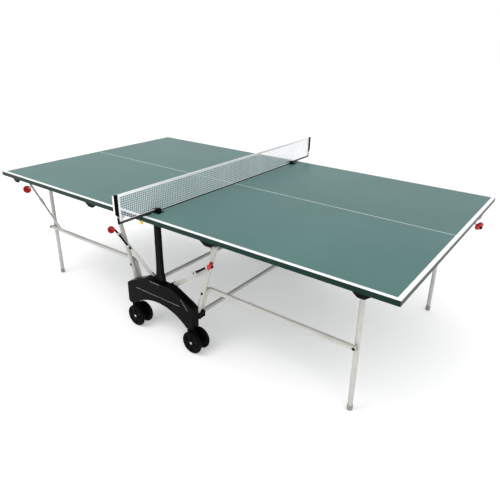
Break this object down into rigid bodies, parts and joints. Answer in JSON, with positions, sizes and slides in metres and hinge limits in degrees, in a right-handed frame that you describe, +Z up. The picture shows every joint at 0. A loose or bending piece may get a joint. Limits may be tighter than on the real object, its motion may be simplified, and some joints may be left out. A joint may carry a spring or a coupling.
{
  "type": "table tennis table",
  "caption": "Folding table-tennis table: hinged playing halves with end legs and braces, on a castor undercarriage with a post-mounted net.",
  "frame": {"origin": "on the floor under the middle of the net", "axes": "+X along the table's length, +Y across to the back side, +Z up"},
  "size_m": [2.74, 1.856, 0.9125],
  "materials": {
    "playing_surface": "painted satin, slightly textured",
    "edge_paint": "satin dark green enamel",
    "frame_paint": "light warm grey powder coat",
    "bracket_steel": "zinc-plated and painted steel",
    "pin_steel": "zinc-plated fasteners",
    "rubber_foot": "moulded grey rubber",
    "grip_red": "moulded red plastic",
    "tab_yellow": "moulded yellow plastic",
    "latch_black": "black sleeve",
    "yoke_plastic": "moulded black nylon",
    "wheel_plastic": "moulded black nylon and soft tread",
    "bridge_plastic": "semi-gloss moulded black plastic",
    "post_paint": "semi-gloss black",
    "clip_plastic": "moulded black plastic",
    "arm_steel": "dark grey enamel",
    "net_mesh": "white knotted cord mesh",
    "net_tape": "white woven tape"
  },
  "bodies": {
    "undercarriage": {"cross_tubes": "frame_paint", "left_struts": "frame_paint", "right_struts": "frame_paint", "stay_catches": "post_paint", "strut_shoes": "clip_plastic", "bridge_beams": "bracket_steel", "bridge_screws": "pin_steel", "centre_posts": "post_paint", "post_clips": "clip_plastic", "net_arms": "arm_steel", "net_posts": "post_paint", "net": "net_mesh", "net_tape": "net_tape", "front_bridge_outer_cover": "bridge_plastic", "front_bridge_inner_cover": "bridge_plastic", "back_bridge_outer_cover": "bridge_plastic", "back_bridge_inner_cover": "bridge_plastic"},
    "left_half": {"left_board": "playing_surface", "left_edge_frame": "edge_paint", "left_rails": "frame_paint", "left_hinge_brackets": "bracket_steel", "left_edge_clips": "edge_paint", "left_seam_tab": "tab_yellow"},
    "left_leg_pair": {"left_leg_frame": "frame_paint", "left_leg_feet": "rubber_foot"},
    "left_brace_pair": {"left_braces": "frame_paint", "left_brace_pins": "pin_steel"},
    "left_stay_pair": {"left_stays": "frame_paint"},
    "left_lock": {"left_lock_bar": "frame_paint", "left_lock_knob": "grip_red"},
    "left_front_latch": {"left_front_latch_rod": "latch_black", "left_front_latch_handle": "grip_red"},
    "left_front_yoke": {"left_front_castor_yoke": "yoke_plastic"},
    "left_front_wheels": {"left_front_castor_wheels": "wheel_plastic"},
    "left_back_latch": {"left_back_latch_rod": "latch_black", "left_back_latch_handle": "grip_red"},
    "left_back_yoke": {"left_back_castor_yoke": "yoke_plastic"},
    "left_back_wheels": {"left_back_castor_wheels": "wheel_plastic"},
    "right_half": {"right_board": "playing_surface", "right_edge_frame": "edge_paint", "right_rails": "frame_paint", "right_hinge_brackets": "bracket_steel", "right_edge_clips": "edge_paint", "right_seam_tab": "tab_yellow"},
    "right_leg_pair": {"right_leg_frame": "frame_paint", "right_leg_feet": "rubber_foot"},
    "right_brace_pair": {"right_braces": "frame_paint", "right_brace_pins": "pin_steel"},
    "right_stay_pair": {"right_stays": "frame_paint"},
    "right_lock": {"right_lock_bar": "frame_paint", "right_lock_knob": "grip_red"},
    "right_front_latch": {"right_front_latch_rod": "latch_black", "right_front_latch_handle": "grip_red"},
    "right_front_yoke": {"right_front_castor_yoke": "yoke_plastic"},
    "right_front_wheels": {"right_front_castor_wheels": "wheel_plastic"},
    "right_back_latch": {"right_back_latch_rod": "latch_black", "right_back_latch_handle": "grip_red"},
    "right_back_yoke": {"right_back_castor_yoke": "yoke_plastic"},
    "right_back_wheels": {"right_back_castor_wheels": "wheel_plastic"}
  },
  "joints": [
    {"name": "left_fold", "type": "hinge", "parent": "undercarriage", "child": "left_half", "pos_m": [-0.338, 0, 0.645], "axis": [0, 1, 0], "range_deg": [0, 90]},
    {"name": "left_leg_swing", "type": "hinge", "parent": "left_half", "child": "left_leg_pair", "pos_m": [-1.205, 0, 0.66], "axis": [0, -1, 0], "range_deg": [0, 90]},
    {"name": "left_brace_swing", "type": "hinge", "parent": "undercarriage", "child": "left_brace_pair", "pos_m": [-0.283, 0, 0.35], "axis": [0, 1, 0], "range_deg": [0, 90]},
    {"name": "left_stay_swing", "type": "hinge", "parent": "undercarriage", "child": "left_stay_pair", "pos_m": [-0.332, 0, 0.508], "axis": [0, 1, 0], "range_deg": [0, 38]},
    {"name": "left_lock_bar_swing", "type": "hinge", "parent": "left_half", "child": "left_lock", "pos_m": [-1.33, -0.616, 0.666], "axis": [0, -1, 0], "range_deg": [0, 41]},
    {"name": "left_front_latch_pull", "type": "slide", "parent": "left_stay_pair", "child": "left_front_latch", "axis": [-0.8231, 0, 0.5678], "range_m": [0, 0.015], "stiffness_N_per_m": 400, "springref_m": -0.01},
    {"name": "left_front_castor_swivel", "type": "hinge", "parent": "undercarriage", "child": "left_front_yoke", "pos_m": [-0.226, -0.664, 0.15], "axis": [0, 0, 1], "continuous": true},
    {"name": "left_front_wheel_spin", "type": "hinge", "parent": "left_front_yoke", "child": "left_front_wheels", "pos_m": [-0.192, -0.664, 0.065], "axis": [0, 1, 0], "continuous": true},
    {"name": "left_back_latch_pull", "type": "slide", "parent": "left_stay_pair", "child": "left_back_latch", "axis": [-0.8231, 0, 0.5678], "range_m": [0, 0.015], "stiffness_N_per_m": 400, "springref_m": -0.01},
    {"name": "left_back_castor_swivel", "type": "hinge", "parent": "undercarriage", "child": "left_back_yoke", "pos_m": [-0.226, 0.664, 0.15], "axis": [0, 0, 1], "continuous": true},
    {"name": "left_back_wheel_spin", "type": "hinge", "parent": "left_back_yoke", "child": "left_back_wheels", "pos_m": [-0.192, 0.664, 0.065], "axis": [0, 1, 0], "continuous": true},
    {"name": "right_fold", "type": "hinge", "parent": "undercarriage", "child": "right_half", "pos_m": [0.338, 0, 0.645], "axis": [0, -1, 0], "range_deg": [0, 90]},
    {"name": "right_leg_swing", "type": "hinge", "parent": "right_half", "child": "right_leg_pair", "pos_m": [1.205, 0, 0.66], "axis": [0, 1, 0], "range_deg": [0, 90]},
    {"name": "right_brace_swing", "type": "hinge", "parent": "undercarriage", "child": "right_brace_pair", "pos_m": [0.283, 0, 0.35], "axis": [0, -1, 0], "range_deg": [0, 90]},
    {"name": "right_stay_swing", "type": "hinge", "parent": "undercarriage", "child": "right_stay_pair", "pos_m": [0.332, 0, 0.508], "axis": [0, -1, 0], "range_deg": [0, 38]},
    {"name": "right_lock_bar_swing", "type": "hinge", "parent": "right_half", "child": "right_lock", "pos_m": [1.33, 0.616, 0.666], "axis": [0, 1, 0], "range_deg": [0, 41]},
    {"name": "right_front_latch_pull", "type": "slide", "parent": "right_stay_pair", "child": "right_front_latch", "axis": [0.8231, 0, 0.5678], "range_m": [0, 0.015], "stiffness_N_per_m": 400, "springref_m": -0.01},
    {"name": "right_front_castor_swivel", "type": "hinge", "parent": "undercarriage", "child": "right_front_yoke", "pos_m": [0.226, -0.664, 0.15], "axis": [0, 0, 1], "continuous": true},
    {"name": "right_front_wheel_spin", "type": "hinge", "parent": "right_front_yoke", "child": "right_front_wheels", "pos_m": [0.26, -0.664, 0.065], "axis": [0, 1, 0], "continuous": true},
    {"name": "right_back_latch_pull", "type": "slide", "parent": "right_stay_pair", "child": "right_back_latch", "axis": [0.8231, 0, 0.5678], "range_m": [0, 0.015], "stiffness_N_per_m": 400, "springref_m": -0.01},
    {"name": "right_back_castor_swivel", "type": "hinge", "parent": "undercarriage", "child": "right_back_yoke", "pos_m": [0.226, 0.664, 0.15], "axis": [0, 0, 1], "continuous": true},
    {"name": "right_back_wheel_spin", "type": "hinge", "parent": "right_back_yoke", "child": "right_back_wheels", "pos_m": [0.26, 0.664, 0.065], "axis": [0, 1, 0], "continuous": true}
  ],
  "couplings": [
    {"joint": "left_leg_swing", "follows": "left_fold", "ratio": 1},
    {"joint": "left_brace_swing", "follows": "left_fold", "ratio": 1},
    {"joint": "left_stay_swing", "follows": "left_fold", "ratio": 0.42222},
    {"joint": "left_lock_bar_swing", "follows": "left_fold", "ratio": 0.45555},
    {"joint": "right_leg_swing", "follows": "right_fold", "ratio": 1},
    {"joint": "right_brace_swing", "follows": "right_fold", "ratio": 1},
    {"joint": "right_stay_swing", "follows": "right_fold", "ratio": 0.42222},
    {"joint": "right_lock_bar_swing", "follows": "right_fold", "ratio": 0.45555}
  ]
}
